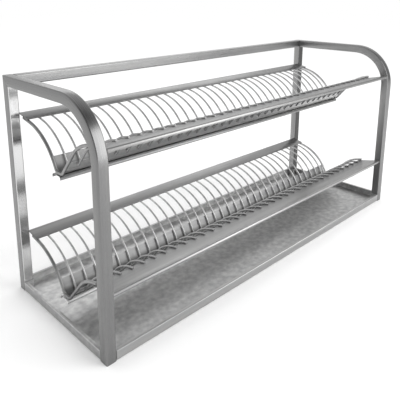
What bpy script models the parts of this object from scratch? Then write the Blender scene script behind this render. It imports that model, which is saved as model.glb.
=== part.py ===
"""Two-tier stainless steel shelf on which plates drain, standing free on a table.

Two side frames of bent square tube are joined by a rear rail at the top, by two plate racks and by a drip
tray. Each rack is a flat strip at the rear and a sloping sheet at the front, with bent wires welded to both,
and a gutter that the wires come down to. X runs along the shelf from its left side, Y from the front to the
back, Z up from the table. Lengths are in metres.
"""

import math

import bmesh
import bpy
from mathutils import Matrix, Vector

# Overall sizes, and the square tube of the frames
WIDTH = 1.200
DEPTH = 0.390
HEIGHT = 0.555
TUBE = 0.025
TUBE_WALL = 0.0015
TUBE_CORNER = 0.0025
BEND_OUTER = 0.131
FOOT_PLATE = 0.002

# Clearance between neighbouring pieces, and how far a cutter runs past what it cuts
GAP = 0.0003
OVERRUN = 0.010

# The tray
TRAY_LIFT = 0.0015
TRAY_SHEET = 0.0012
TRAY_RIM = 0.024
TRAY_HEM = 0.008

# The racks: where the upper one's front edge lies and how far down the lower one is, in shares of the height
RACK_HEIGHT_SHARE = 0.8306
RACK_SPACING_SHARE = 0.5514
RACK_SETBACK = 0.004

# The front plate of a rack, which falls towards the gutter. Its reach is a share of the depth
PLATE_REACH_SHARE = 0.2077
PLATE_TILT = math.radians(13)
PLATE_LIP = 0.009
PLATE_FOLD = 0.006
PLATE_SHEET = 0.002

# The rear strip of a rack, which falls forward. Shares are of the depth: its reach, how far its rear edge
# lies inside the frame's back, and how far its front edge lies under the rack's front edge
STRIP_REACH_SHARE = 0.1077
STRIP_INSET_SHARE = 0.0455
STRIP_DROP_SHARE = 0.0205
STRIP_TILT = math.radians(10.8)
STRIP_SHEET = 0.003

# The wires, and how deep a weld sinks them into what carries them
WIRE = 0.0055
WIRE_PITCH = 0.0328
WIRE_SIDES = 5
WELD_BITE = 0.0007
END_ROD = 0.008
END_ROD_SIDES = 6
END_ROD_BEND = 0.012

# The bends of a wire, in shares of the depth: the front one starts at the plate's rear edge and the rear one
# just ahead of the strip
FRONT_LAP_SHARE = 0.0359
FRONT_BEND_SHARE = 0.2692
FRONT_DROP_SHARE = 0.2167
FRONT_FALL = math.radians(49.5)
REAR_LAP_SHARE = 0.0615
REAR_RUN_ON_SHARE = 0.0167
REAR_BEND_SHARE = 0.3974
REAR_FOOT_SHARE = 0.0256
REAR_FALL = math.radians(64)

# The gutter between the feet of the wires, and the folded carrier that it lies on. Shares are of the depth
GUTTER_SHEET = 0.0012
GUTTER_FLOOR_SHARE = 0.0359
GUTTER_RISE_SHARE = 0.0872
GUTTER_FOLD = 0.003
CARRIER_SHEET = 0.0015
CARRIER_TOE_SHARE = 0.0231
CARRIER_HEEL_SHARE = 0.0308
CARRIER_LIP = 0.009
CARRIER_FOLD = 0.006

# How many straight pieces make up each bend
POST_BEND_STEPS = 9
FRONT_BEND_STEPS = 4
REAR_BEND_STEPS = 6
ROD_BEND_STEPS = 3
FOLD_STEPS = 3
CORNER_STEPS = 2

# Worked out from the sizes above
INNER_WIDTH = WIDTH - 2 * TUBE
FRONT_BEND = FRONT_BEND_SHARE * DEPTH
FRONT_LAP = FRONT_LAP_SHARE * DEPTH
REAR_BEND = REAR_BEND_SHARE * DEPTH
REAR_FOOT = REAR_FOOT_SHARE * DEPTH
REAR_LAP = (REAR_LAP_SHARE + REAR_RUN_ON_SHARE) * DEPTH
WIRE_COUNT = int(INNER_WIDTH / WIRE_PITCH) - 1
FIRST_WIRE = (WIDTH - (WIRE_COUNT - 1) * WIRE_PITCH) / 2


def clear_scene():
    for old in list(bpy.data.objects):
        bpy.data.objects.remove(old, do_unlink=True)


def steel(name, shade, roughness):
    """Bare stainless steel of one finish."""
    finish = bpy.data.materials.new(name)
    finish.use_nodes = True
    shader = finish.node_tree.nodes["Principled BSDF"]
    shader.inputs["Base Color"].default_value = (shade, shade, shade, 1)
    shader.inputs["Metallic"].default_value = 1
    shader.inputs["Roughness"].default_value = roughness
    return finish


def add_object(name, mesh, finish):
    made = bpy.data.objects.new(name, mesh)
    bpy.context.scene.collection.objects.link(made)
    if finish and not mesh.materials:
        mesh.materials.append(finish)
    return made


def finish_mesh(name, shape, smooth):
    """Turn a bmesh into a mesh, with round pieces shaded smooth."""
    bmesh.ops.recalc_face_normals(shape, faces=shape.faces)
    mesh = bpy.data.meshes.new(name)
    shape.to_mesh(mesh)
    shape.free()
    if smooth:
        mesh.shade_smooth()
        mesh.set_sharp_from_angle(angle=math.radians(40))
    return mesh


def make_helper(obj):
    obj.hide_render = True
    obj.display_type = "WIRE"
    return obj


def add_boolean(obj, other, operation):
    step = obj.modifiers.new(operation.title(), "BOOLEAN")
    step.operation = operation
    step.solver = "EXACT"
    step.object = other


def square_tube_section(shape):
    """A square ring with rounded corners, lying flat round the origin."""
    bmesh.ops.create_grid(shape, x_segments=1, y_segments=1, size=TUBE / 2)
    bmesh.ops.bevel(
        shape,
        geom=shape.verts[:],
        offset=TUBE_CORNER,
        affect="VERTICES",
        segments=CORNER_STEPS,
        profile=0.5,
        material=-1,
    )
    bmesh.ops.inset_individual(shape, faces=shape.faces[:], thickness=TUBE_WALL, use_even_offset=True)
    middle = min(shape.faces, key=lambda face: face.calc_center_median().length)
    bmesh.ops.delete(shape, geom=[middle], context="FACES_ONLY")
    return shape.faces[:]


def round_section(diameter, sides):
    """A flat disc with one corner on the Y axis, so that a corner of the bar meets what it is welded to."""

    def section(shape):
        turned = Matrix.Rotation(math.pi / 2, 3, "Z")
        made = bmesh.ops.create_circle(shape, cap_ends=True, segments=sides, radius=diameter / 2)
        bmesh.ops.rotate(shape, cent=(0, 0, 0), matrix=turned, verts=made["verts"])
        return shape.faces[:]

    return section


def heading_vector(angle):
    """The way a bar points in the YZ plane: 0 is to the back, a quarter turn is up."""
    return Vector((0, math.cos(angle), math.sin(angle)))


def whole_region(faces):
    """Faces with their edges and corners, so that drawing them out leaves no wall behind inside the bar."""
    edges = {edge for face in faces for edge in face.edges}
    corners = {corner for face in faces for corner in face.verts}
    return [*faces, *edges, *corners]


def bent_bar(section, start, angle, moves):
    """Carry a flat section along straight runs and bends that lie in one YZ plane.

    A move is ("run", length) or ("bend", radius, turn, steps). A positive turn raises a bar that points back.
    """
    shape = bmesh.new()
    front = section(shape)
    turned = Matrix.Rotation(angle - math.pi / 2, 3, "X")
    bmesh.ops.rotate(shape, cent=(0, 0, 0), matrix=turned, verts=shape.verts[:])
    bmesh.ops.translate(shape, vec=start, verts=shape.verts[:])
    place = Vector(start)
    for move in moves:
        if move[0] == "run":
            step = heading_vector(angle) * move[1]
            made = bmesh.ops.extrude_face_region(shape, geom=whole_region(front))["geom"]
            front = [item for item in made if isinstance(item, bmesh.types.BMFace)]
            moved = [item for item in made if isinstance(item, bmesh.types.BMVert)]
            bmesh.ops.translate(shape, vec=step, verts=moved)
            place += step
            continue
        radius, turn, steps = move[1:]
        side = heading_vector(angle + math.copysign(math.pi / 2, turn))
        centre = place + side * radius
        made = bmesh.ops.spin(
            shape,
            geom=whole_region(front),
            cent=centre,
            axis=(1, 0, 0),
            dvec=(0, 0, 0),
            angle=turn,
            steps=steps,
        )
        front = [item for item in made["geom_last"] if isinstance(item, bmesh.types.BMFace)]
        place = centre + Matrix.Rotation(turn, 3, "X") @ (place - centre)
        angle += turn
    return shape, front, place


def folded_sheet(name, profile, left, right, thickness, fold, finish):
    """A sheet folded along X: an open line of (Y, Z) points with rounded corners, drawn out and thickened.

    The line is the face that lies on the left of its direction, seen from the left side of the shelf.
    """
    shape = bmesh.new()
    corners = [shape.verts.new((left, y, z)) for y, z in profile]
    for first, second in zip(corners, corners[1:]):
        shape.edges.new((first, second))
    if fold:
        bmesh.ops.bevel(
            shape,
            geom=corners[1:-1],
            offset=fold,
            affect="VERTICES",
            segments=FOLD_STEPS,
            profile=0.5,
            material=-1,
        )
    made = bmesh.ops.extrude_edge_only(shape, edges=shape.edges[:])["geom"]
    moved = [item for item in made if isinstance(item, bmesh.types.BMVert)]
    bmesh.ops.translate(shape, vec=(right - left, 0, 0), verts=moved)
    bmesh.ops.recalc_face_normals(shape, faces=shape.faces)
    first_way = Vector((0, profile[1][0] - profile[0][0], profile[1][1] - profile[0][1]))
    if corners[0].link_faces[0].normal.dot(Vector((1, 0, 0)).cross(first_way)) < 0:
        bmesh.ops.reverse_faces(shape, faces=shape.faces)
    mesh = bpy.data.meshes.new(name)
    shape.to_mesh(mesh)
    shape.free()
    sheet = add_object(name, mesh, finish)
    wall = sheet.modifiers.new("Sheet", "SOLIDIFY")
    wall.thickness = thickness
    wall.offset = -1
    wall.use_even_offset = True
    return sheet


def plan_prism(name, points, bottom, top, finish=None):
    """An upright block over an outline of (X, Y) points."""
    shape = bmesh.new()
    floor = shape.faces.new([shape.verts.new((x, y, bottom)) for x, y in points])
    made = bmesh.ops.extrude_face_region(shape, geom=[floor])["geom"]
    moved = [item for item in made if isinstance(item, bmesh.types.BMVert)]
    bmesh.ops.translate(shape, vec=(0, 0, top - bottom), verts=moved)
    return add_object(name, finish_mesh(name, shape, False), finish)


def side_frames(finish):
    """Each side: a tube bent from front post to top arm, and a rear post mitred to the arm's end."""
    middle_bend = BEND_OUTER - TUBE / 2
    moves = [
        ("run", HEIGHT - BEND_OUTER),
        ("bend", middle_bend, -math.pi / 2, POST_BEND_STEPS),
        ("run", DEPTH - BEND_OUTER - TUBE / 2),
    ]
    shape, end, _ = bent_bar(square_tube_section, (0, TUBE / 2, 0), math.pi / 2, moves)
    for corner in {vert for face in end for vert in face.verts}:
        corner.co.y = DEPTH - (HEIGHT - corner.co.z)
    front_mesh = finish_mesh("front_tube", shape, True)

    mitre_gap = GAP * math.sqrt(2)
    moves = [("run", HEIGHT - TUBE / 2)]
    shape, end, _ = bent_bar(square_tube_section, (0, DEPTH - TUBE / 2, 0), math.pi / 2, moves)
    for corner in {vert for face in end for vert in face.verts}:
        corner.co.z = HEIGHT - (DEPTH - corner.co.y) - mitre_gap
    rear_mesh = finish_mesh("rear_post", shape, True)

    for side, x in (("left", TUBE / 2), ("right", WIDTH - TUBE / 2)):
        add_object(f"{side}_front_tube", front_mesh, finish).location.x = x
        add_object(f"{side}_rear_post", rear_mesh, finish).location.x = x


def rear_rail(finish):
    """The straight tube that joins the side frames at their upper rear corners."""
    shape, _, _ = bent_bar(square_tube_section, (0, 0, 0), math.pi / 2, [("run", INNER_WIDTH - 2 * GAP)])
    bmesh.ops.rotate(shape, cent=(0, 0, 0), matrix=Matrix.Rotation(math.pi / 2, 3, "Y"), verts=shape.verts[:])
    rail = add_object("top_rear_rail", finish_mesh("top_rear_rail", shape, True), finish)
    rail.location = (TUBE + GAP, DEPTH - TUBE / 2, HEIGHT - TUBE / 2)


def foot_plates(finish):
    """Small plates let into the lower ends of the four posts, flush with them."""
    half = TUBE / 2 - TUBE_WALL - GAP
    outline = [(-half, -half), (half, -half), (half, half), (-half, half)]
    places = {
        "left_front": (TUBE / 2, TUBE / 2),
        "right_front": (WIDTH - TUBE / 2, TUBE / 2),
        "left_rear": (TUBE / 2, DEPTH - TUBE / 2),
        "right_rear": (WIDTH - TUBE / 2, DEPTH - TUBE / 2),
    }
    for name, (x, y) in places.items():
        plate = plan_prism(f"{name}_foot_plate", outline, 0, FOOT_PLATE, finish)
        corners = plate.modifiers.new("Corners", "BEVEL")
        corners.limit_method = "ANGLE"
        corners.width = TUBE_CORNER / 2
        corners.affect = "EDGES"
        plate.location = (x, y, 0)


def notched_outline(inset, notch):
    """The shelf's plan, set in by one distance, with a square notch round each post."""
    left, right = inset, WIDTH - inset
    front, back = inset, DEPTH - inset
    near, far = notch, DEPTH - notch
    first, last = notch, WIDTH - notch
    return [
        (first, front), (last, front), (last, near), (right, near), (right, far), (last, far),
        (last, back), (first, back), (first, far), (left, far), (left, near), (first, near),
    ]  # fmt: skip


def drip_tray(finish):
    """One folded pan that fills the plan of the frame, with a hem turned in along its rim."""
    notch = TUBE + GAP
    floor = TRAY_LIFT + TRAY_SHEET
    tray = plan_prism("drip_tray", notched_outline(0, notch), TRAY_LIFT, TRAY_RIM, finish)
    inside = notched_outline(TRAY_SHEET, notch + TRAY_SHEET)
    hollow = make_helper(plan_prism("tray_hollow", inside, floor, TRAY_RIM - TRAY_SHEET))
    mouth_outline = notched_outline(TRAY_HEM, notch + TRAY_SHEET)
    mouth = make_helper(plan_prism("tray_mouth", mouth_outline, floor + TRAY_SHEET, TRAY_RIM + OVERRUN))
    add_boolean(tray, hollow, "DIFFERENCE")
    add_boolean(tray, mouth, "DIFFERENCE")


def wire_row(name, start, angle, moves):
    """All the wires of one row, side by side, as a helper that is joined to what carries them."""
    shape, _, _ = bent_bar(round_section(WIRE, WIRE_SIDES), start, angle, moves)
    row = make_helper(add_object(name, finish_mesh(name, shape, True), None))
    copies = row.modifiers.new("Row", "ARRAY")
    copies.count = WIRE_COUNT
    copies.use_relative_offset = False
    copies.use_constant_offset = True
    copies.constant_offset_displace = (WIRE_PITCH, 0, 0)
    row.location.x = FIRST_WIRE
    return row


class Rack:
    """The side view of one rack, worked out once from the height of its front edge."""

    def __init__(self, height):
        self.height = height
        self.plate_front = Vector((RACK_SETBACK, height))
        self.plate_way = Vector((math.cos(PLATE_TILT), -math.sin(PLATE_TILT)))
        self.plate_rear = self.plate_front + self.plate_way * PLATE_REACH_SHARE * DEPTH
        self.strip_way = Vector((math.cos(STRIP_TILT), math.sin(STRIP_TILT)))
        strip = self.strip_way * STRIP_REACH_SHARE * DEPTH
        rear_edge = DEPTH - STRIP_INSET_SHARE * DEPTH
        self.strip_front = Vector((rear_edge - strip.x, height - STRIP_DROP_SHARE * DEPTH))
        self.strip_rear = self.strip_front + strip
        self.front_foot = height - FRONT_DROP_SHARE * DEPTH

    def front_moves(self, lift):
        """The front half of a wire, from its end on the plate to its foot, its axis this far above."""
        up = Vector((math.sin(PLATE_TILT), math.cos(PLATE_TILT)))
        bend = self.plate_rear + up * lift
        end_z = bend.y - FRONT_BEND * (math.cos(PLATE_TILT) - math.cos(FRONT_FALL))
        foot = (end_z - self.front_foot) / math.sin(FRONT_FALL)
        moves = [
            ("run", FRONT_LAP),
            ("bend", FRONT_BEND, PLATE_TILT - FRONT_FALL, FRONT_BEND_STEPS),
            ("run", foot),
        ]
        bend_reach = FRONT_BEND * (math.sin(FRONT_FALL) - math.sin(PLATE_TILT))
        end_y = bend.x + bend_reach + foot * math.cos(FRONT_FALL)
        return bend - self.plate_way * FRONT_LAP, moves, Vector((end_y, self.front_foot))

    def rear_moves(self, drop):
        """The rear half of a wire, from its end under the strip to its foot, its axis this far below."""
        down = Vector((math.sin(STRIP_TILT), -math.cos(STRIP_TILT)))
        bend = self.strip_front - self.strip_way * REAR_RUN_ON_SHARE * DEPTH + down * drop
        moves = [
            ("run", REAR_LAP),
            ("bend", REAR_BEND, REAR_FALL - STRIP_TILT, REAR_BEND_STEPS),
            ("run", REAR_FOOT),
        ]
        centre = bend + REAR_BEND * down
        end = centre + REAR_BEND * Vector((-math.sin(REAR_FALL), math.cos(REAR_FALL)))
        end += REAR_FOOT * Vector((-math.cos(REAR_FALL), -math.sin(REAR_FALL)))
        return bend + self.strip_way * REAR_LAP, moves, end, centre


def gutter_profile(rack):
    """The gutter's inner face: front lip, two floor corners, rear lip. Both lips lie against the wires."""
    off = WIRE / 2 + GAP
    _, _, front_end = rack.front_moves(WIRE / 2 - WELD_BITE)
    _, _, rear_end, centre = rack.rear_moves(WIRE / 2 - WELD_BITE)
    floor = rear_end.y - WIRE / 2 - GAP
    inward = Vector((math.sin(FRONT_FALL), math.cos(FRONT_FALL)))
    up_wire = Vector((-math.cos(FRONT_FALL), math.sin(FRONT_FALL)))
    front_lip = front_end + inward * (off + GUTTER_SHEET) + up_wire * GUTTER_SHEET
    rear_top = floor + GUTTER_RISE_SHARE * DEPTH
    reach = REAR_BEND - off
    rear_lip = Vector((centre.x - math.sqrt(reach**2 - (rear_top - centre.y) ** 2), rear_top))
    rear_floor = rear_end.x + off / math.sin(REAR_FALL)
    return [
        (front_lip.x, front_lip.y),
        (rear_floor - GUTTER_FLOOR_SHARE * DEPTH, floor),
        (rear_floor, floor),
        (rear_lip.x, rear_lip.y),
    ]


def rack_pieces(name, height, sheet, wire):
    rack = Rack(height)
    left, right = TUBE + GAP, WIDTH - TUBE - GAP

    plate_profile = [
        (rack.plate_front.x, rack.plate_front.y - PLATE_LIP),
        tuple(rack.plate_front),
        tuple(rack.plate_rear),
    ]
    plate = folded_sheet(f"{name}_front_plate", plate_profile, left, right, PLATE_SHEET, PLATE_FOLD, sheet)
    start, moves, _ = rack.front_moves(WIRE / 2 - WELD_BITE)
    row = wire_row(f"{name}_front_wires", (0, start.x, start.y), -PLATE_TILT, moves)
    add_boolean(plate, row, "UNION")

    strip_profile = [tuple(rack.strip_rear), tuple(rack.strip_front)]
    strip = folded_sheet(f"{name}_rear_strip", strip_profile, left, right, STRIP_SHEET, 0, sheet)
    start, moves, _, _ = rack.rear_moves(WIRE / 2 - WELD_BITE)
    row = wire_row(f"{name}_rear_wires", (0, start.x, start.y), math.pi + STRIP_TILT, moves)
    add_boolean(strip, row, "UNION")

    profile = gutter_profile(rack)
    rod_reach = END_ROD + 2 * GAP
    gutter_left, gutter_right = left + rod_reach, right - rod_reach
    folded_sheet(f"{name}_gutter", profile, gutter_left, gutter_right, GUTTER_SHEET, GUTTER_FOLD, sheet)

    top = profile[1][1] - GUTTER_SHEET - GAP
    toe = profile[1][0] - CARRIER_TOE_SHARE * DEPTH
    heel = profile[2][0] + CARRIER_HEEL_SHARE * DEPTH
    carrier_profile = [(toe, top - CARRIER_LIP), (toe, top), (heel, top), (heel, top - CARRIER_LIP)]
    folded_sheet(f"{name}_carrier", carrier_profile, left, right, CARRIER_SHEET, CARRIER_FOLD, sheet)
    end_rods(name, rack, left, top, wire)


def end_rods(name, rack, left, carrier_top, finish):
    """A thicker rod at each end of a rack: down from the strip, across the carrier and up onto the plate."""
    lift = END_ROD / 2 + GAP
    start, rear, rear_end, centre = rack.rear_moves(lift)
    front_start, front, front_end = rack.front_moves(lift)
    floor = carrier_top + GAP + END_ROD / 2

    rear_drop = (rear_end.y + REAR_FOOT * math.sin(REAR_FALL) - floor) / math.sin(REAR_FALL)
    rear_tuck = END_ROD_BEND * math.tan(REAR_FALL / 2)
    rear_corner = rear_end.x + REAR_FOOT * math.cos(REAR_FALL) - rear_drop * math.cos(REAR_FALL)
    foot = front[2][1]
    turn_z = front_end.y + foot * math.sin(FRONT_FALL)
    turn_y = front_end.x - foot * math.cos(FRONT_FALL)
    front_rise = (turn_z - floor) / math.sin(FRONT_FALL)
    front_corner = turn_y + front_rise * math.cos(FRONT_FALL)
    front_tuck = END_ROD_BEND * math.tan(FRONT_FALL / 2)
    moves = [
        rear[0],
        rear[1],
        ("run", rear_drop - rear_tuck),
        ("bend", END_ROD_BEND, -REAR_FALL, ROD_BEND_STEPS),
        ("run", rear_corner - front_corner - rear_tuck - front_tuck),
        ("bend", END_ROD_BEND, -FRONT_FALL, ROD_BEND_STEPS),
        ("run", front_rise - front_tuck),
        ("bend", FRONT_BEND, FRONT_FALL - PLATE_TILT, FRONT_BEND_STEPS),
        ("run", FRONT_LAP),
    ]
    section = round_section(END_ROD, END_ROD_SIDES)
    shape, _, _ = bent_bar(section, (0, start.x, start.y), math.pi + STRIP_TILT, moves)
    mesh = finish_mesh("end_rod", shape, True)
    for side, x in (("left", left + END_ROD / 2 + GAP), ("right", WIDTH - left - END_ROD / 2 - GAP)):
        add_object(f"{name}_{side}_end_rod", mesh, finish).location.x = x


def centre_on_origin():
    """Bring the middle of the shelf's footprint to the origin."""
    for obj in bpy.data.objects:
        obj.location -= Vector((WIDTH / 2, DEPTH / 2, 0))


def main():
    clear_scene()
    tube_finish = steel("tube_steel", 0.58, 0.34)
    sheet_finish = steel("sheet_steel", 0.60, 0.30)
    tray_finish = steel("tray_steel", 0.60, 0.36)
    wire_finish = steel("wire_steel", 0.62, 0.25)
    side_frames(tube_finish)
    rear_rail(tube_finish)
    foot_plates(tube_finish)
    drip_tray(tray_finish)
    rack_height = RACK_HEIGHT_SHARE * HEIGHT
    rack_pieces("upper", rack_height, sheet_finish, wire_finish)
    rack_pieces("lower", rack_height - RACK_SPACING_SHARE * HEIGHT, sheet_finish, wire_finish)
    centre_on_origin()


main()
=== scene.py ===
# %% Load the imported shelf
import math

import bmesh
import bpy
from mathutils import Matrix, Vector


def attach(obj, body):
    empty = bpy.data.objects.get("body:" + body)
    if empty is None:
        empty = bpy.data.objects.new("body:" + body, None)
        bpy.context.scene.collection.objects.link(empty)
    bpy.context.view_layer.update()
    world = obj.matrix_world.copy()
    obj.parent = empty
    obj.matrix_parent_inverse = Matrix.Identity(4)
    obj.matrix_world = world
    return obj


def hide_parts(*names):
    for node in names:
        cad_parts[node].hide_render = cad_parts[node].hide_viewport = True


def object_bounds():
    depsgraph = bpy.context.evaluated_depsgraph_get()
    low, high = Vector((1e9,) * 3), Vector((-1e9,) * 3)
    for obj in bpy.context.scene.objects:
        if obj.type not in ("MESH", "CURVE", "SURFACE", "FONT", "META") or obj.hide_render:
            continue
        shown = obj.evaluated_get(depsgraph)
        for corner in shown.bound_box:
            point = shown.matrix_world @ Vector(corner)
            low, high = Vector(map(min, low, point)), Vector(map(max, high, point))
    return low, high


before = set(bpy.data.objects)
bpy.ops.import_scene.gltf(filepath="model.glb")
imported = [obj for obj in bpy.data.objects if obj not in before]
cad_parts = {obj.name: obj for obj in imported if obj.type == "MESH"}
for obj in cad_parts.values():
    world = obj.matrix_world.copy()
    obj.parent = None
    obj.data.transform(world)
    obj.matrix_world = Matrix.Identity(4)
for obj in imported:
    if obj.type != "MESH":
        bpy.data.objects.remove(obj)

# %% [markdown]
# # A dish drying shelf of bare stainless steel
# The imported model gives every solid at its real place, in metres: X runs along the shelf, Y from the front
# to the back and Z up. This script keeps the straight tubes and the foot plates, replaces the rest by finer
# meshes of the same sizes, and gives each one a brushed steel finish. Nothing on the shelf moves, so every
# finer piece rides on one body.

cad_low, cad_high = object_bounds()
size = cad_high - cad_low
print("shelf, in mm:", [round(side * 1000, 1) for side in size])

# %% [markdown]
# ## The camera
# The shelf is seen from its left front corner, from a little over its top. A camera that only tips down
# makes the posts lean together, so part of the tipping is done with a lens shift, as an architect's camera
# does. The shift is kept small because every other view keeps it.

# %% The camera
degrees_down, degrees_right = 13.258, 43.904

scene = bpy.context.scene
camera_data = bpy.data.cameras.new("camera")
camera_data.lens = 44.665
camera_data.sensor_width = 36
camera_data.shift_x = 0.02
camera_data.shift_y = -0.235
camera = bpy.data.objects.new("camera", camera_data)
camera.location = (-1.0733, -0.9367, 0.7502)
camera.rotation_euler = (math.radians(90 - degrees_down), 0, math.radians(-degrees_right))
scene.collection.objects.link(camera)
scene.camera = camera
scene.view_settings.view_transform = "Standard"
print("camera at", tuple(round(side, 3) for side in camera.location))

# %% [markdown]
# ## Sizes that the finer pieces share with the solids
# Each group of sizes comes before the piece that first needs it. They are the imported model's own sizes, in
# metres or as a share of the shelf's depth or height, so that the fine pieces lie where the solids lie.
# They could be measured on the solids, but a named size can be read. Bends, corners and wires are rounder
# here. Two more things differ: the front wall of a gutter goes 11 mm further up behind the wires, and the
# folds of the tray are round.

# %% Sizes of the tubes
depth, height = size.y, size.z
tube = 0.025
tube_wall = 0.0015
tube_corner, tube_corner_steps = 0.0025, 5
bend_outer, tube_bend_steps = 0.131, 30
gap = 0.0003
print("depth and height, in mm:", round(depth * 1000, 1), round(height * 1000, 1))

# %% [markdown]
# ## Nodes
# A material is a tree of small steps, the nodes, that are joined by links. It could be put together by hand
# in the shader editor. The same few steps come back in every finish and in the light of the room, so each
# one is written once here.

# %% Helpers that make numbers
def add_node(tree, kind, **settings):
    node = tree.nodes.new(kind)
    for key, value in settings.items():
        setattr(node, key, value)
    return node


def ramp(tree, value, low, high, to_low=0, to_high=1, soft=False):
    """A number that goes from to_low to to_high as the value goes from low to high."""
    node = add_node(tree, "ShaderNodeMapRange", interpolation_type="SMOOTHSTEP" if soft else "LINEAR")
    for name, number in (("From Min", low), ("From Max", high), ("To Min", to_low), ("To Max", to_high)):
        node.inputs[name].default_value = number
    tree.links.new(value, node.inputs["Value"])
    return node.outputs["Result"]


def combined(tree, operation, first, second):
    node = add_node(tree, "ShaderNodeMath", operation=operation)
    tree.links.new(first, node.inputs[0])
    tree.links.new(second, node.inputs[1])
    return node.outputs[0]


def facing(tree, way, direction):
    """1 where the way is the direction given, 0 where it is square to it and -1 where it is opposite."""
    dot = add_node(tree, "ShaderNodeVectorMath", operation="DOT_PRODUCT")
    dot.inputs[1].default_value = Vector(direction).normalized()
    tree.links.new(way, dot.inputs[0])
    return dot.outputs["Value"]


# %% Helpers that mix
def grey(value):
    return (value, value, value, 1)


def mixed(tree, kind, factor, first, second):
    """Mix two colours (RGBA) or two numbers (FLOAT). Each one is a value, or the output that gives it."""
    node = add_node(tree, "ShaderNodeMix", data_type=kind)
    tree.links.new(factor, node.inputs["Factor"])
    for name, item in (("A", first), ("B", second)):
        if isinstance(item, bpy.types.NodeSocket):
            tree.links.new(item, node.inputs[name])
        else:
            node.inputs[name].default_value = item
    return node.outputs["Result"]


# %% Helpers that make relief
def stretched_noise(tree, place, scale, detail):
    mapping = add_node(tree, "ShaderNodeMapping")
    mapping.inputs["Scale"].default_value = scale
    tree.links.new(place, mapping.inputs["Vector"])
    noise = add_node(tree, "ShaderNodeTexNoise")
    noise.inputs["Scale"].default_value = 1
    noise.inputs["Detail"].default_value = detail
    tree.links.new(mapping.outputs["Vector"], noise.inputs["Vector"])
    return noise.outputs["Fac"]


def add_bump(tree, relief, strength, distance):
    bump = add_node(tree, "ShaderNodeBump")
    bump.inputs["Strength"].default_value = strength
    bump.inputs["Distance"].default_value = distance
    tree.links.new(relief, bump.inputs["Height"])
    return bump


# %% [markdown]
# ## The steel
# Bare stainless sheet and tube are brushed at the mill: fine scratches that all run one way. They blur a
# reflection across the scratches and leave the metal a little lighter and darker in long streaks. An image
# of scratches would do, but it shows where it repeats. A noise that is squeezed across the grain and drawn
# out along it never does. A softer noise makes some patches smoother than others. A noise keeps to about
# 0.3 to 0.7, and is brought from there into the range of roughness or shade that is wanted.
#
# The tray's sheet is mottled instead of streaked, and slightly wavy, which bends what is mirrored in it. A
# gutter is painted darker towards its bottom: painted shade where the plate hides it.

# %% How fine the noises are, in waves per metre
grain_across, grain_along, grain_detail = 900, 12, 2
streak_across, streak_along, mottle_along, streak_detail = 70, 1.5, 60, 3
patch_scale, patch_detail = (14, 14, 14), 2
wave_scale, wave_detail = (36, 52, 52), 1


def drawn_out(across, along, axis):
    scale = [across] * 3
    scale[axis] = along
    return scale


print("grain along X:", drawn_out(grain_across, grain_along, 0))

# %% How strong the noises are, and how much painted shade darkens a gutter's bottom
noise_low, noise_high = 0.3, 0.7
grain_roughness, patch_roughness = 0.05, 0.03
streak_shades, mottle_shades = (0.86, 1.10), (0.78, 1.16)
bluer, yellower = 1.01, 0.99
scratch_strength, scratch_depth = 0.25, 0.0002
wave_strength, wave_depth = 1, 0.0009
painted_shade, painted_shade_fade = 0.42, 0.014
print("roughness goes up and down by", grain_roughness + patch_roughness)


# %% The roughness and the colour of brushed steel
def brushed_roughness(tree, grain, patches, roughness):
    low, high = roughness - grain_roughness, roughness + grain_roughness
    by_grain = ramp(tree, grain, noise_low, noise_high, low, high)
    by_patch = ramp(tree, patches, noise_low, noise_high, -patch_roughness, patch_roughness)
    return combined(tree, "ADD", by_grain, by_patch)


def brushed_colour(tree, streaks, shade, shades):
    dark, light = shade * shades[0], shade * shades[1]
    streak = ramp(tree, streaks, noise_low, noise_high)
    return mixed(tree, "RGBA", streak, (dark, dark, dark * bluer, 1), (light, light, light * yellower, 1))


# Painted shade: below a level the colour turns darker, like the shade low in a gutter
def shaded_below(tree, place, colour, shade, level):
    parts = add_node(tree, "ShaderNodeSeparateXYZ")
    tree.links.new(place, parts.inputs[0])
    above = ramp(tree, parts.outputs["Z"], level - painted_shade_fade, level, soft=True)
    return mixed(tree, "RGBA", above, grey(shade * painted_shade), colour)


# %% Brushed steel
def brushed_steel(name, shade, roughness, along, mottled=False, unbent=False, painted_shade_below=None):
    """The grain runs along axis 0, 1 or 2. A piece that is unbent carries its own straightened places."""
    finish = bpy.data.materials.new(name)
    finish.use_nodes = True
    tree = finish.node_tree
    shader = tree.nodes["Principled BSDF"]
    shader.inputs["Metallic"].default_value = 1
    if unbent:
        place = add_node(tree, "ShaderNodeAttribute", attribute_name="unbent").outputs["Vector"]
    else:
        place = add_node(tree, "ShaderNodeTexCoord").outputs["Object"]

    grain_scale = drawn_out(grain_across, grain_along, along)
    streak_scale = drawn_out(streak_across, mottle_along if mottled else streak_along, along)
    grain = stretched_noise(tree, place, grain_scale, grain_detail)
    streaks = stretched_noise(tree, place, streak_scale, streak_detail)
    patches = stretched_noise(tree, place, patch_scale, patch_detail)
    tree.links.new(brushed_roughness(tree, grain, patches, roughness), shader.inputs["Roughness"])
    colour = brushed_colour(tree, streaks, shade, mottle_shades if mottled else streak_shades)
    # Painted shade, darker towards the bottom, where a level is given
    if painted_shade_below:
        colour = shaded_below(tree, place, colour, shade, painted_shade_below)
    tree.links.new(colour, shader.inputs["Base Color"])

    scratches = add_bump(tree, grain, scratch_strength, scratch_depth)
    if mottled:
        waves = stretched_noise(tree, place, wave_scale, wave_detail)
        waviness = add_bump(tree, waves, wave_strength, wave_depth)
        tree.links.new(waviness.outputs["Normal"], scratches.inputs["Normal"])
    tree.links.new(scratches.outputs["Normal"], shader.inputs["Normal"])
    print(name, "shade", shade, "roughness", roughness)
    return finish
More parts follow.
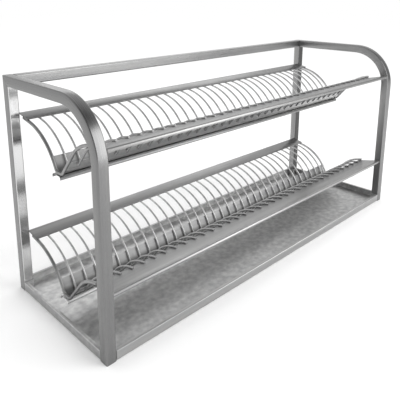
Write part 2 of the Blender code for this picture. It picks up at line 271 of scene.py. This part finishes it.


# %% [markdown]
# ## The finishes of this shelf
# Tube, sheet and wire come from different stock, so each has a shade and a roughness of its own. Most folds
# are painted lighter than the flat beside them, as a painted highlight, and the underside of a plate is matt
# and painted pale, as painted light. The lower rack's folds and carrier are painted lighter than the upper
# one's, and the right end rods than the left ones, as painted light and shade, so these finishes come in
# pairs. One finish for all would be quicker, but then the pieces would run together.

# %% Steel of the tubes
rail_steel = brushed_steel("rail_steel", 0.275, 0.32, 0)
post_steel = brushed_steel("post_steel", 0.24, 0.30, 2)
bent_tube_steel = {
    "left": brushed_steel("left_bent_tube_steel", 0.225, 0.28, 2, unbent=True),
    "right": brushed_steel("right_bent_tube_steel", 0.225, 0.28, 2, unbent=True),
}

# %% Steel of the sheets
plate_steel = brushed_steel("plate_steel", 0.30, 0.36, 0)
# Painted light: the underside of a plate is paler than its top
pale_lit_under_steel = brushed_steel("pale_lit_under_steel", 0.62, 0.45, 0)
gutter_steel = brushed_steel("gutter_steel", 0.60, 0.50, 0)
# Painted highlight: the tray's hem is lighter than its sides
hem_highlight_steel = brushed_steel("hem_highlight_steel", 0.60, 0.50, 0)
# Painted highlight along the plates' folds, stronger on the lower rack
plate_fold_highlight_steel = {
    "upper": brushed_steel("upper_plate_fold_steel", 0.36, 0.36, 0),
    "lower": brushed_steel("lower_plate_fold_steel", 0.47, 0.40, 0),
}
# Painted light: the lower carrier is lighter than the upper one, though both are the same sheet
carrier_steel = {
    "upper": brushed_steel("upper_carrier_steel", 0.27, 0.36, 0),
    "lower": brushed_steel("lower_carrier_steel", 0.55, 0.36, 0),
}
# Painted highlight along the lower carrier's folds; the upper carrier's folds keep its own steel
carrier_fold_highlight_steel = {
    "upper": carrier_steel["upper"],
    "lower": brushed_steel("lower_carrier_fold_steel", 0.88, 0.33, 0),
}
tray_steel = brushed_steel("tray_steel", 0.57, 0.45, 0, mottled=True)
# Painted shade: the tray's outer side is darker than its inner side
shaded_tray_outer_steel = brushed_steel("shaded_tray_outer_steel", 0.40, 0.36, 0)

# %% Steel of the wires and the end rods
wire_steel = brushed_steel("wire_steel", 0.68, 0.38, 0)
# Painted shade: the front wires are darker than the rear wires of the same rod
front_wire_steel = brushed_steel("front_wire_steel", 0.44, 0.42, 0)
# Painted shade on the left end rods and painted light on the right ones
end_rod_steel = {
    "left": brushed_steel("left_end_rod_steel", 0.34, 0.38, 0),
    "right": brushed_steel("right_end_rod_steel", 0.72, 0.40, 0),
}

# %% [markdown]
# ## Faces with painted light and a roughness of their own
# The front of the left rear post is polished, so it mirrors the end rods and the pale floor, and is painted
# lighter, as painted light, while the front of the right one is rougher and painted darker, as painted shade.
# The inner faces of the bent tubes are painted lighter than the outer ones, as painted light, and they look
# opposite ways, so each tube has a finish of its own. Such a face could have a material number of its own,
# but a imported solid stays as it is. So the face is picked out by its normal, which points straight out of
# it, and the painted light stays on it in every view.

# %% Paint light or shade, with a roughness, on the faces that look one way
turned_away, turned_to = 0.5, 0.9


# Painted light or shade: faces that look one way get the shade given as colour, and the roughness given
def paint_light_by_facing(finish, direction, shade, roughness):
    tree = finish.node_tree
    shader = tree.nodes["Principled BSDF"]
    normal = add_node(tree, "ShaderNodeTexCoord").outputs["Normal"]
    picked = ramp(tree, facing(tree, normal, direction), turned_away, turned_to)
    for name, kind, value in (("Base Color", "RGBA", grey(shade)), ("Roughness", "FLOAT", roughness)):
        brushed = shader.inputs[name].links[0].from_socket
        tree.links.new(mixed(tree, kind, picked, brushed, value), shader.inputs[name])
    print(finish.name, "is finished anew towards", direction)


# %% Painted light and shade on the fronts of the rear posts and the inner faces of the bent tubes
to_front, to_left, to_right = (0, -1, 0), (-1, 0, 0), (1, 0, 0)
polished_lit_post_steel = brushed_steel("polished_lit_post_steel", 0.24, 0.30, 2)
paint_light_by_facing(polished_lit_post_steel, to_front, 0.64, 0.14)
# Painted light: the right rear post is lighter than the other posts, and painted shade darkens its front
right_post_steel = brushed_steel("right_post_steel", 0.33, 0.30, 2)
paint_light_by_facing(right_post_steel, to_front, 0.09, 0.42)
paint_light_by_facing(bent_tube_steel["left"], to_right, 0.42, 0.28)
paint_light_by_facing(bent_tube_steel["right"], to_left, 0.36, 0.28)

# %% [markdown]
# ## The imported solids
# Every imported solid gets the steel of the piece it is, also where a finer piece stands for it later. Each
# could be given its steel in a line of its own. A solid's name says what it is, so its steel is looked up
# by the whole name or by how the name ends.

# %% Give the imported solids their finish
steel_by_name = {
    "left_rear_post": polished_lit_post_steel,
    "right_rear_post": right_post_steel,
    "top_rear_rail": rail_steel,
    "drip_tray": tray_steel,
}
steel_by_ending = {
    "foot_plate": post_steel,
    "front_tube": post_steel,
    "front_plate": plate_steel,
    "rear_strip": plate_steel,
    "gutter": gutter_steel,
}


def steel_of(name):
    first, second = name.split("_")[:2]
    if name in steel_by_name:
        return steel_by_name[name]
    if name.endswith("carrier"):
        return carrier_steel[first]
    if name.endswith("end_rod"):
        return end_rod_steel[second]
    return next(steel for ending, steel in steel_by_ending.items() if name.endswith(ending))


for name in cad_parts:
    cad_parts[name].material_slots[0].material = steel_of(name)
    print(name, "is of", steel_of(name).name)


# %% [markdown]
# ## Bars that bend
# A tube bender carries a straight bar round a former. The same can be done to a flat section: extrude it
# for a straight run, and spin it about the centre of a bend. The section stays square to its path all the
# way, which a chain of hand placed rings would not promise.

# %% Helpers for bars
def heading_vector(angle):
    return Vector((0, math.cos(angle), math.sin(angle)))


def whole_region(faces):
    edges = {edge for face in faces for edge in face.edges}
    corners = {corner for face in faces for corner in face.verts}
    return [*faces, *edges, *corners]


def only(kind, made):
    return [item for item in made if isinstance(item, kind)]


# %% Carry a section along runs and bends
def bent_bar(section, start, angle, moves):
    """A move is ("run", length) or ("bend", radius, turn, steps).

    A turn over 0 lifts a bar that points back.
    """
    shape = bmesh.new()
    front = section(shape)
    turned = Matrix.Rotation(angle - math.pi / 2, 3, "X")
    bmesh.ops.rotate(shape, cent=(0, 0, 0), matrix=turned, verts=shape.verts[:])
    bmesh.ops.translate(shape, vec=start, verts=shape.verts[:])
    place = Vector(start)
    for kind, *sizes in moves:
        region = whole_region(front)
        if kind == "run":
            step = heading_vector(angle) * sizes[0]
            made = bmesh.ops.extrude_face_region(shape, geom=region)["geom"]
            front = only(bmesh.types.BMFace, made)
            bmesh.ops.translate(shape, vec=step, verts=only(bmesh.types.BMVert, made))
            place += step
            continue
        radius, turn, steps = sizes
        centre = place + heading_vector(angle + math.copysign(math.pi / 2, turn)) * radius
        made = bmesh.ops.spin(
            shape, geom=region, cent=centre, axis=(1, 0, 0), dvec=(0, 0, 0), angle=turn, steps=steps
        )["geom_last"]
        front = only(bmesh.types.BMFace, made)
        place = centre + Matrix.Rotation(turn, 3, "X") @ (place - centre)
        angle += turn
    bmesh.ops.recalc_face_normals(shape, faces=shape.faces)
    return shape, front


# %% Sections of the tube and of a rod
def round_off(shape, geom, affect, offset, steps):
    """A round bevel, whose new faces keep the material beside them."""
    bmesh.ops.bevel(
        shape, geom=geom, offset=offset, affect=affect, segments=steps, profile=0.5, material=-1
    )


def square_tube_section(shape):
    bmesh.ops.create_grid(shape, x_segments=1, y_segments=1, size=tube / 2)
    round_off(shape, shape.verts[:], "VERTICES", tube_corner, tube_corner_steps)
    bmesh.ops.inset_individual(shape, faces=shape.faces[:], thickness=tube_wall, use_even_offset=True)
    middle = min(shape.faces, key=lambda face: face.calc_center_median().length)
    bmesh.ops.delete(shape, geom=[middle], context="FACES_ONLY")
    return shape.faces[:]


def round_section(diameter, sides):
    def section(shape):
        bmesh.ops.create_circle(shape, cap_ends=True, segments=sides, radius=diameter / 2)
        return shape.faces[:]

    return section


# %% Make a piece of the shelf from a finished shape
sharp_on_sheet, sharp_on_rod = math.radians(35), math.radians(50)


def add_piece(name, shape, finish, slot, *nodes, sharp=sharp_on_sheet):
    """The piece rides on the welded frame, and the nodes that it stands for are hidden."""
    mesh = bpy.data.meshes.new(name)
    shape.to_mesh(mesh)
    shape.free()
    mesh.shade_smooth()
    mesh.set_sharp_from_angle(angle=sharp)
    mesh.materials.append(finish)
    piece = bpy.data.objects.new(name, mesh)
    scene.collection.objects.link(piece)
    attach(piece, "root")
    if nodes:
        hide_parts(*nodes)
    print(name, len(mesh.polygons), "faces")
    return piece


# %% [markdown]
# ## The side frames
# Each side frame is one square tube, bent round a large radius from the front post into the top arm and
# cut at 45 degrees where it meets the rear post. It could be the solid itself, but the fine mesh has a
# smoother bend and rounder corners. Each corner of it also keeps its place on the straight tube, as it was
# before bending, so that the grain can follow the bend.

# %% Where a point of the bent tube was before bending
bend_middle = bend_outer - tube / 2
bend_start = height - bend_outer


def straightened(corner):
    """Its place along X, across the tube and along the tube."""
    y, z = corner.y - cad_low.y, corner.z
    if z <= bend_start:
        return Vector((corner.x, y, z))
    if y >= bend_outer:
        quarter = bend_middle * math.pi / 2
        return Vector((corner.x, height - z, bend_start + quarter + y - bend_outer))
    from_centre = Vector((y - bend_outer, z - bend_start))
    angle = math.atan2(from_centre.y, -from_centre.x)
    return Vector((corner.x, bend_outer - from_centre.length, bend_start + angle * bend_middle))


# %% The two bent tubes
def add_bent_tube(side, x):
    moves = [
        ("run", bend_start),
        ("bend", bend_middle, -math.pi / 2, tube_bend_steps),
        ("run", depth - bend_outer - tube / 2),
    ]
    shape, end = bent_bar(square_tube_section, (x, cad_low.y + tube / 2, 0), math.pi / 2, moves)
    for corner in {vert for face in end for vert in face.verts}:
        corner.co.y = cad_high.y - (height - corner.co.z)
    piece = add_piece(f"{side}_bent_tube", shape, bent_tube_steel[side], "tube_steel", f"{side}_front_tube")
    unbent = piece.data.attributes.new("unbent", "FLOAT_VECTOR", "POINT")
    for corner, value in zip(piece.data.vertices, unbent.data):
        value.vector = straightened(corner.co)


add_bent_tube("left", cad_low.x + tube / 2)
add_bent_tube("right", cad_high.x - tube / 2)

# %% [markdown]
# ## The drip tray
# The tray is one flat blank, notched at its corners so that it clears the posts, with its sides folded up
# and their edges folded in again as a hem. It could be cut out of a block, but drawing out the blank's
# edges makes the sides and the hems in the same order as on the press brake. A bevel then rounds every
# fold, and solidify gives the sheet its thickness on the inside.

# %% Sizes of the tray
tray_lift = 0.0015
tray_sheet = 0.0012
tray_rim = 0.024
tray_hem = 0.008
tray_fold, tray_fold_steps = 0.002, 4
notch = tube + gap
longest_notch_edge = 2 * tube
print("notch round a post, in mm:", round(notch * 1000, 1))

# %% Give sheet its thickness, with its edges broken
edge_part, edge_angle, edge_steps = 5, math.radians(60), 2


def thicken(piece, thickness):
    wall = piece.modifiers.new("Sheet", "SOLIDIFY")
    wall.thickness = thickness
    wall.offset = -1
    wall.use_even_offset = True
    edge = piece.modifiers.new("Edge", "BEVEL")
    edge.limit_method = "ANGLE"
    edge.angle_limit = edge_angle
    edge.width = thickness / edge_part
    edge.segments = edge_steps


# %% The blank's outline, with a notch round each post
def notched_outline():
    near, far = cad_low.y + notch, cad_high.y - notch
    first, last = cad_low.x + notch, cad_high.x - notch
    return [
        (first, cad_low.y),
        (last, cad_low.y),
        (last, near),
        (cad_high.x, near),
        (cad_high.x, far),
        (last, far),
        (last, cad_high.y),
        (first, cad_high.y),
        (first, far),
        (cad_low.x, far),
        (cad_low.x, near),
        (first, near),
    ]


# %% Fold the tray
def fold_hem(shape, edge):
    """Fold the top of one side inwards, a little shorter at both ends so that the hems clear each other."""
    made = bmesh.ops.extrude_edge_only(shape, edges=[edge])["geom"]
    first, last = only(bmesh.types.BMVert, made)
    along = (last.co - first.co).normalized()
    inward = -(first.co + last.co) / 2
    inward = (inward - along * inward.dot(along)) * Vector((1, 1, 0))
    bmesh.ops.translate(shape, vec=inward.normalized() * tray_hem, verts=[first, last])
    first.co += along * 2 * tray_sheet
    last.co -= along * 2 * tray_sheet


def tray_shape():
    shape = bmesh.new()
    blank = shape.faces.new([shape.verts.new((x, y, tray_lift)) for x, y in notched_outline()])
    made = bmesh.ops.extrude_edge_only(shape, edges=blank.edges[:])["geom"]
    bmesh.ops.translate(shape, vec=(0, 0, tray_rim - tray_lift), verts=only(bmesh.types.BMVert, made))
    open_edges = [edge for edge in shape.edges if edge.is_boundary]
    for edge in [edge for edge in open_edges if edge.calc_length() > longest_notch_edge]:
        fold_hem(shape, edge)
    bmesh.ops.recalc_face_normals(shape, faces=shape.faces)
    if blank.normal.z > 0:
        bmesh.ops.reverse_faces(shape, faces=shape.faces)
    folds = [edge for edge in shape.edges if not edge.is_boundary]
    round_off(shape, folds, "EDGES", tray_fold, tray_fold_steps)
    return shape


# %% [markdown]
# ## The steel of each side of a sheet
# The tray is painted darker outside than inside, as painted shade, and its hem is painted lighter, as a
# painted highlight. Each side could be a mesh of its own, but one mesh can hold both: every face has the
# number of its material, and a face that solidify adds takes the number of the face it comes from, raised by
# the material offset and kept to the last number there is.

# %% The tray, with its outer steel in painted shade, its inner steel and its hem steel with a painted highlight
outer_face, highlighted_hem_face, to_inside = 0, 2, 1

pan_shape = tray_shape()
for face in pan_shape.faces:
    face.material_index = highlighted_hem_face if face.calc_center_median().z > tray_rim - tray_fold else outer_face
pan = add_piece("drip_pan", pan_shape, shaded_tray_outer_steel, "tray_steel", "drip_tray")
pan.data.materials.append(tray_steel)
pan.data.materials.append(hem_highlight_steel)
thicken(pan, tray_sheet)
pan.modifiers["Sheet"].material_offset = to_inside

# %% [markdown]
# ## The racks
# Both racks are the same. Seen from the side, a sloping plate at the front and a flat strip at the rear
# carry rows of bent wires, and the feet of the wires come together in a gutter. Every piece could be
# measured out for itself, but then a changed angle would part them. So the lines of that side view are
# worked out once, in Y and Z, and every piece of the rack reads them.

# %% Sizes of the plates and the strips
rack_setback = 0.004
plate_reach = 0.2077 * depth
plate_tilt = math.radians(13)
plate_lip = 0.009
plate_fold = 0.006
plate_sheet = 0.002
strip_reach = 0.1077 * depth
strip_inset = 0.0455 * depth
strip_drop = 0.0205 * depth
strip_tilt = math.radians(10.8)
strip_sheet = 0.003
print("plate and strip reach, in mm:", round(plate_reach * 1000, 1), round(strip_reach * 1000, 1))

# %% Sizes of the wires, in their side view
front_lap = 0.0359 * depth
front_bend, front_bend_steps = 0.2692 * depth, 10
front_drop = 0.2167 * depth
front_fall = math.radians(49.5)
rear_run_on = 0.0167 * depth
rear_lap = 0.0615 * depth + rear_run_on
rear_bend, rear_bend_steps = 0.3974 * depth, 14
rear_foot = 0.0256 * depth
rear_fall = math.radians(64)
print("bends of the wires, in mm:", round(front_bend * 1000, 1), round(rear_bend * 1000, 1))


# %% The side view of a rack
class Rack:
    def __init__(self, front_height):
        front = cad_low.y + rack_setback
        self.plate_way = Vector((math.cos(plate_tilt), -math.sin(plate_tilt)))
        self.plate_front = Vector((front, front_height))
        self.plate_rear = self.plate_front + self.plate_way * plate_reach
        self.strip_way = Vector((math.cos(strip_tilt), math.sin(strip_tilt)))
        strip = self.strip_way * strip_reach
        self.strip_front = Vector((cad_high.y - strip_inset - strip.x, front_height - strip_drop))
        self.strip_rear = self.strip_front + strip
        self.front_foot = front_height - front_drop

    def front_moves(self, lift):
        """The start, the moves and the end of a bar whose middle runs this far over the plate."""
        up = Vector((math.sin(plate_tilt), math.cos(plate_tilt)))
        bend = self.plate_rear + up * lift
        end_z = bend.y - front_bend * (math.cos(plate_tilt) - math.cos(front_fall))
        foot = (end_z - self.front_foot) / math.sin(front_fall)
        turn = plate_tilt - front_fall
        moves = [("run", front_lap), ("bend", front_bend, turn, front_bend_steps), ("run", foot)]
        bend_y = bend.x + front_bend * (math.sin(front_fall) - math.sin(plate_tilt))
        end = Vector((bend_y + foot * math.cos(front_fall), self.front_foot))
        return bend - self.plate_way * front_lap, moves, end

    def rear_moves(self, drop):
        """The same for a bar this far under the strip, with the centre of its bend."""
        down = Vector((math.sin(strip_tilt), -math.cos(strip_tilt)))
        bend = self.strip_front - self.strip_way * rear_run_on + down * drop
        turn = rear_fall - strip_tilt
        moves = [("run", rear_lap), ("bend", rear_bend, turn, rear_bend_steps), ("run", rear_foot)]
        centre = bend + rear_bend * down
        end = centre + rear_bend * Vector((-math.sin(rear_fall), math.cos(rear_fall)))
        end += rear_foot * Vector((-math.cos(rear_fall), -math.sin(rear_fall)))
        return bend + self.strip_way * rear_lap, moves, end, centre


# %% [markdown]
# ## Folded sheet
# A press brake folds flat sheet along straight lines. Such a piece could be a box for every flat, but then
# the folds would be missing. Its side view is an open line with rounded corners: a vertex bevel rounds
# them, an extrusion draws the line out along the shelf, and solidify gives the sheet its thickness on the
# side that the solids have it. A face that is much narrower than the fold is one facet of it.

# %% The flat and the folded faces of a sheet
rack_left, rack_right = cad_low.x + tube + gap, cad_high.x - tube - gap
fold_steps = 6
facet_part = 3
flat_face, fold_face, to_other_side = 0, 1, 2


def folded_shape(profile, left, right, fold):
    shape = bmesh.new()
    corners = [shape.verts.new((left, y, z)) for y, z in profile]
    for first, second in zip(corners, corners[1:]):
        shape.edges.new((first, second))
    if fold:
        round_off(shape, corners[1:-1], "VERTICES", fold, fold_steps)
    made = bmesh.ops.extrude_edge_only(shape, edges=shape.edges[:])["geom"]
    bmesh.ops.translate(shape, vec=(right - left, 0, 0), verts=only(bmesh.types.BMVert, made))
    bmesh.ops.recalc_face_normals(shape, faces=shape.faces)
    first_way = Vector((0, profile[1][0] - profile[0][0], profile[1][1] - profile[0][1]))
    if corners[0].link_faces[0].normal.dot(Vector((1, 0, 0)).cross(first_way)) < 0:
        bmesh.ops.reverse_faces(shape, faces=shape.faces)
    # Fold facets take the second steel, which carries a painted highlight on the plates and the lower carrier
    for face in shape.faces:
        is_facet = face.calc_area() < (right - left) * fold / facet_part
        face.material_index = fold_face if is_facet else flat_face
    return shape


# %% Fold a sheet along the shelf
def add_folded(name, profile, thickness, fold, steels, node, inset=0):
    """The steels are those of the flats, of the folds and, where it differs, of the sheet's other side."""
    shape = folded_shape(profile, rack_left + inset, rack_right - inset, fold)
    piece = add_piece(name, shape, steels[0], "sheet_steel", node)
    for steel in steels[1:]:
        piece.data.materials.append(steel)
    thicken(piece, thickness)
    if len(steels) > to_other_side:
        piece.modifiers["Sheet"].material_offset = to_other_side


# %% [markdown]
# ## Rows of wires
# The wires are round rod, cut and bent in a jig so that all of one row are alike. An array modifier could
# repeat one of them. Here one is copied along the shelf inside the same mesh, so that the row is finished
# before it becomes a piece. Front wires are welded on top of the plate and rear wires under the strip, so
# the middle of a wire lies half its thickness away from the sheet, less the bite of the weld.

# %% A row of wires
wire, wire_sides = 0.0055, 10
wire_pitch = 0.0328
wire_count = int((size.x - 2 * tube) / wire_pitch) - 1
first_wire = -(wire_count - 1) * wire_pitch / 2
weld_bite = 0.0007
wire_lift = wire / 2 - weld_bite
print("wires in a row:", wire_count)


def add_wires(name, start, angle, moves, finish, node):
    shape, _ = bent_bar(round_section(wire, wire_sides), (first_wire, start.x, start.y), angle, moves)
    one = shape.verts[:] + shape.edges[:] + shape.faces[:]
    for number in range(1, wire_count):
        copied = bmesh.ops.duplicate(shape, geom=one)["geom"]
        along = (number * wire_pitch, 0, 0)
        bmesh.ops.translate(shape, vec=along, verts=only(bmesh.types.BMVert, copied))
    add_piece(name, shape, finish, "sheet_steel", node, sharp=sharp_on_rod)


# %% The front plate and the rear strip, each with its wires
def add_front(name, rack):
    node = f"{name}_front_plate"
    lip = (rack.plate_front.x, rack.plate_front.y - plate_lip)
    profile = [lip, tuple(rack.plate_front), tuple(rack.plate_rear)]
    steels = [plate_steel, plate_fold_highlight_steel[name], pale_lit_under_steel]
    add_folded(f"{name}_front_sheet", profile, plate_sheet, plate_fold, steels, node)
    start, moves, _ = rack.front_moves(wire_lift)
    add_wires(f"{name}_front_wires", start, -plate_tilt, moves, front_wire_steel, node)


def add_rear(name, rack):
    node = f"{name}_rear_strip"
    profile = [tuple(rack.strip_rear), tuple(rack.strip_front)]
    add_folded(f"{name}_rear_bar", profile, strip_sheet, 0, [plate_steel], node)
    start, moves, _, _ = rack.rear_moves(wire_lift)
    add_wires(f"{name}_rear_wires", start, math.pi + strip_tilt, moves, wire_steel, node)


# %% [markdown]
# ## The gutter and its carrier
# The gutter is a narrow channel. Its front wall leans against the straight ends of the front wires, from
# behind, and its rear wall ends against the bend of the rear wires. It could be placed by eye, but its
# corners follow from where the wires end. It lies on the carrier, a flat strip with both edges folded down.

# %% Sizes of the gutter, the carrier and the rod beside them
gutter_sheet = 0.0012
gutter_floor = 0.0359 * depth
gutter_rise = 0.0872 * depth
gutter_front = 0.011
gutter_fold = 0.003
# The lower share of a gutter's rise that gets painted shade
painted_shade_share = 0.55
carrier_sheet = 0.0015
carrier_toe = 0.0231 * depth
carrier_heel = 0.0308 * depth
carrier_lip = 0.009
carrier_fold = 0.006
end_rod, end_rod_sides = 0.008, 14
print("carrier, in mm:", round((carrier_toe + gutter_floor + carrier_heel) * 1000, 1), "wide")


# %% The side view of a gutter
def gutter_profile(rack):
    """The front lip, the two corners of the floor and the rear lip."""
    _, _, front_end = rack.front_moves(wire_lift)
    _, _, rear_end, centre = rack.rear_moves(wire_lift)
    off = wire / 2 + gap
    inward = Vector((math.sin(front_fall), math.cos(front_fall)))
    up_wire = Vector((-math.cos(front_fall), math.sin(front_fall)))
    front_lip = front_end + inward * (off + gutter_sheet) + up_wire * (gutter_sheet + gutter_front)
    floor_z = rear_end.y - wire / 2 - gap
    rear_z = floor_z + gutter_rise
    reach = rear_bend - off
    rear_y = centre.x - math.sqrt(reach**2 - (rear_z - centre.y) ** 2)
    floor_y = rear_end.x + off / math.sin(rear_fall)
    return [tuple(front_lip), (floor_y - gutter_floor, floor_z), (floor_y, floor_z), (rear_y, rear_z)]


# %% The gutter, between the end rods, and the carrier under it
def add_gutter(name, rack):
    profile = gutter_profile(rack)
    # Below this level the gutter's inside gets painted shade
    painted_shade_level = profile[1][1] + painted_shade_share * gutter_rise
    inside_steel = brushed_steel(f"{name}_gutter_inside_steel", 0.62, 0.68, 0, painted_shade_below=painted_shade_level)
    steels = [inside_steel, inside_steel, gutter_steel]
    room = end_rod + 2 * gap
    add_folded(f"{name}_channel", profile, gutter_sheet, gutter_fold, steels, f"{name}_gutter", room)


def add_carrier(name, rack):
    _, (front_floor, floor_z), (rear_floor, _), _ = gutter_profile(rack)
    top = floor_z - gutter_sheet - gap
    toe, heel = front_floor - carrier_toe, rear_floor + carrier_heel
    profile = [(toe, top - carrier_lip), (toe, top), (heel, top), (heel, top - carrier_lip)]
    steels = [carrier_steel[name], carrier_fold_highlight_steel[name]]
    add_folded(f"{name}_bearer", profile, carrier_sheet, carrier_fold, steels, f"{name}_carrier")
    return top


# %% [markdown]
# ## End rods
# A thicker rod closes each end of a rack. It starts like a rear wire, goes straight down to the carrier,
# turns twice to cross it, and rises to the plate like a front wire. It could be three bars that meet, but
# it is one bar on the real shelf. A bend of a given radius uses up some length of both straight runs beside
# it: the radius times the tangent of half the turn.

# %% The path of an end rod, from the strip to the plate
end_rod_bend, rod_bend_steps = 0.012, 8


def end_rod_moves(rack, carrier_top):
    lift = end_rod / 2 + gap
    start, rear, rear_end, _ = rack.rear_moves(lift)
    _, front, front_end = rack.front_moves(lift)
    cross_z = carrier_top + gap + end_rod / 2
    rear_drop = (rear_end.y + rear_foot * math.sin(rear_fall) - cross_z) / math.sin(rear_fall)
    rear_corner = rear_end.x + rear_foot * math.cos(rear_fall) - rear_drop * math.cos(rear_fall)
    foot = front[2][1]
    turn_z = front_end.y + foot * math.sin(front_fall)
    turn_y = front_end.x - foot * math.cos(front_fall)
    front_rise = (turn_z - cross_z) / math.sin(front_fall)
    front_corner = turn_y + front_rise * math.cos(front_fall)
    rear_tuck = end_rod_bend * math.tan(rear_fall / 2)
    front_tuck = end_rod_bend * math.tan(front_fall / 2)
    return start, [
        rear[0],
        rear[1],
        ("run", rear_drop - rear_tuck),
        ("bend", end_rod_bend, -rear_fall, rod_bend_steps),
        ("run", rear_corner - front_corner - rear_tuck - front_tuck),
        ("bend", end_rod_bend, -front_fall, rod_bend_steps),
        ("run", front_rise - front_tuck),
        ("bend", front_bend, front_fall - plate_tilt, front_bend_steps),
        ("run", front_lap),
    ]


# %% The two end rods of a rack
def add_end_rods(name, rack, carrier_top):
    start, moves = end_rod_moves(rack, carrier_top)
    section = round_section(end_rod, end_rod_sides)
    from_post = tube + gap + end_rod / 2 + gap
    for side, x in (("left", cad_low.x + from_post), ("right", cad_high.x - from_post)):
        shape, _ = bent_bar(section, (x, start.x, start.y), math.pi + strip_tilt, moves)
        node = f"{name}_{side}_end_rod"
        add_piece(f"{name}_{side}_rod", shape, end_rod_steel[side], "wire_steel", node, sharp=sharp_on_rod)


# %% Both racks
rack_height = 0.8306 * height
rack_spacing = 0.5514 * height

for name, front_height in (("upper", rack_height), ("lower", rack_height - rack_spacing)):
    rack = Rack(front_height)
    add_front(name, rack)
    add_rear(name, rack)
    add_gutter(name, rack)
    carrier_top = add_carrier(name, rack)
    add_end_rods(name, rack, carrier_top)

# %% [markdown]
# ## The floor
# Matt paper lies under the shelf. It could be a small sheet, but steel mirrors what is far off too, so it
# goes on well past the edge of the picture. Its shine is turned off, so that it shows no glare of a lamp.

# %% The floor
floor_half = 12

floor_shape = bmesh.new()
bmesh.ops.create_grid(floor_shape, x_segments=1, y_segments=1, size=floor_half)
floor_mesh = bpy.data.meshes.new("floor")
floor_shape.to_mesh(floor_mesh)
floor_shape.free()
floor = bpy.data.objects.new("floor", floor_mesh)
scene.collection.objects.link(floor)
paper = bpy.data.materials.new("paper")
paper.use_nodes = True
for key, value in (("Base Color", grey(1)), ("Roughness", 0.9), ("Specular IOR Level", 0)):
    paper.node_tree.nodes["Principled BSDF"].inputs[key].default_value = value
floor_mesh.materials.append(paper)
print("floor, in m:", 2 * floor_half, "on each side")

# %% [markdown]
# ## The light
# Steel shows what is round it, so the room matters more than the lamps. It could be walls round the shelf,
# but a world that differs by direction needs no mesh. What metal mirrors is a pale backdrop behind the
# shelf, a grey room in front of it and a darker ceiling. The camera itself sees white in every direction,
# and so does the matt paper, which keeps it evenly lit.

# %% What the room shows in each direction
backdrop_way, backdrop_edge, backdrop_most = (0.3, 1, 0), (-0.2, 0.6), 0.72
ceiling_way, ceiling_edge = (0, 0, 1), (0.6, 0.85)
room_grey, ceiling_grey = 0.45, 0.22

room = bpy.data.worlds.new("room")
room.use_nodes = True
room.cycles.sampling_method = "NONE"
scene.world = room
tree = room.node_tree
path = add_node(tree, "ShaderNodeLightPath").outputs
way = add_node(tree, "ShaderNodeTexCoord").outputs["Generated"]
behind = ramp(tree, facing(tree, way, backdrop_way), *backdrop_edge, to_high=backdrop_most, soft=True)
overhead = ramp(tree, facing(tree, way, ceiling_way), *ceiling_edge, soft=True)
print("backdrop up to", backdrop_most, "in a room of", room_grey, "with a ceiling of", ceiling_grey)

# %% Who sees the room, and who sees white
mirrored = combined(tree, "MAXIMUM", path["Is Glossy Ray"], path["Is Transmission Ray"])
mirrored = combined(tree, "MULTIPLY", mirrored, behind)
white = combined(tree, "MAXIMUM", path["Is Camera Ray"], mirrored)
white = combined(tree, "MAXIMUM", white, path["Is Diffuse Ray"])
dim_room = mixed(tree, "RGBA", overhead, grey(room_grey), grey(ceiling_grey))
background = tree.nodes["Background"]
tree.links.new(mixed(tree, "RGBA", white, dim_room, grey(1)), background.inputs["Color"])
background.inputs["Strength"].default_value = 1
print("nodes in the room:", len(tree.nodes))

# %% [markdown]
# ## The lamps
# A large lamp in front of the shelf, to its right, lights the front, and a weak one behind it lights the
# back and the top. Small lamps could do the same, but they leave hard spots on every wire, where large ones
# leave soft lines.

# %% The lamps
shelf_middle = Vector((0, 0, 0.3))


def add_lamp(name, place, width, breadth, watts):
    data = bpy.data.lights.new(name, "AREA")
    data.shape = "RECTANGLE"
    data.size = width
    data.size_y = breadth
    data.energy = watts
    lamp = bpy.data.objects.new(name, data)
    lamp.location = place
    lamp.rotation_euler = (shelf_middle - Vector(place)).to_track_quat("-Z", "Y").to_euler()
    scene.collection.objects.link(lamp)
    print(name, watts, "W")


add_lamp("front_lamp", place=(1.35, -2.65, 1.5), width=2.2, breadth=2.9, watts=60)
add_lamp("back_lamp", place=(1.6, 2.2, 1.7), width=2.2, breadth=0.9, watts=7)
